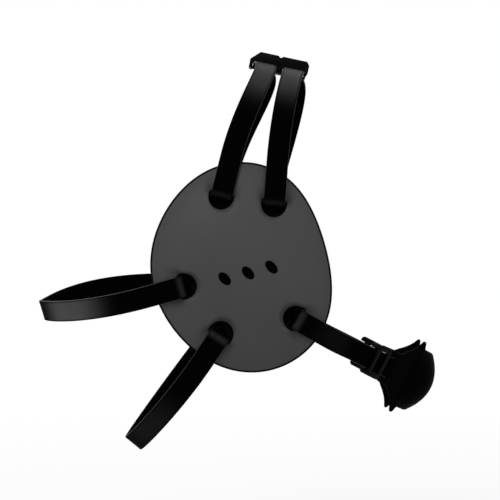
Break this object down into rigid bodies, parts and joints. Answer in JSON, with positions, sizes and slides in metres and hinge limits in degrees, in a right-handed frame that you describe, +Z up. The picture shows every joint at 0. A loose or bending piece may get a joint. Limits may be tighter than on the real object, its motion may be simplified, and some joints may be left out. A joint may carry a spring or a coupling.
{
  "type": "wrestling headgear",
  "caption": "Wrestling headgear with domed ear cups, soft ear pads, webbing over the crown and behind the head, a crown adjuster and a chin cup on sliders",
  "frame": {"origin": "midway between the faces of the two ear cushions, level with the middle of the ear openings", "axes": "+X forward to the face, +Y to the wearer's left, +Z up"},
  "size_m": [0.2499, 0.214, 0.2505],
  "materials": {
    "cup_shell": "satin dark grey moulded plastic",
    "firm_foam": "matt closed-cell foam",
    "ear_pad": "soft matt foam with a fine skin",
    "webbing": "tight black woven webbing",
    "moulded": "satin black moulded plastic",
    "chin_cup": "flexible satin black moulding"
  },
  "bodies": {
    "cups": {"right_shell": "cup_shell", "left_shell": "cup_shell", "right_firm_foam": "firm_foam", "left_firm_foam": "firm_foam", "right_ear_cushion": "ear_pad", "left_ear_cushion": "ear_pad", "rear_top_strap": "webbing", "front_top_strap": "webbing", "top_strap_bars": "moulded"},
    "crown_adjuster": {"crown_adjuster": "moulded"},
    "upper_rear": {"upper_rear_strap": "webbing", "upper_rear_bars": "moulded"},
    "lower_rear": {"lower_rear_strap": "webbing", "lower_rear_bars": "moulded"},
    "chin": {"right_chin_strap": "webbing", "left_chin_strap": "webbing", "chin_strap_bars": "moulded", "chin_cup": "chin_cup", "chin_liner": "ear_pad"},
    "right_slider": {"right_chin_slider": "moulded"},
    "left_slider": {"left_chin_slider": "moulded"}
  },
  "joints": [
    {"name": "crown_adjuster_slide", "type": "slide", "parent": "cups", "child": "crown_adjuster", "axis": [0, 1, 0], "range_m": [-0.01, 0.01]},
    {"name": "upper_rear_swing", "type": "hinge", "parent": "cups", "child": "upper_rear", "pos_m": [-0.0376, 0, -0.00791], "axis": [0, 1, 0], "range_deg": [-8, 8]},
    {"name": "lower_rear_swing", "type": "hinge", "parent": "cups", "child": "lower_rear", "pos_m": [-0.016, 0, -0.03584], "axis": [0, 1, 0], "range_deg": [-8, 8]},
    {"name": "chin_swing", "type": "hinge", "parent": "cups", "child": "chin", "pos_m": [0.02814, 0, -0.02687], "axis": [0, 1, 0], "range_deg": [-10, 10]},
    {"name": "right_slider_slide", "type": "slide", "parent": "chin", "child": "right_slider", "axis": [-0.5962, -0.7431, 0.3038], "range_m": [0, 0.012]},
    {"name": "left_slider_slide", "type": "slide", "parent": "chin", "child": "left_slider", "axis": [-0.5962, 0.7431, 0.3038], "range_m": [0, 0.012]}
  ]
}
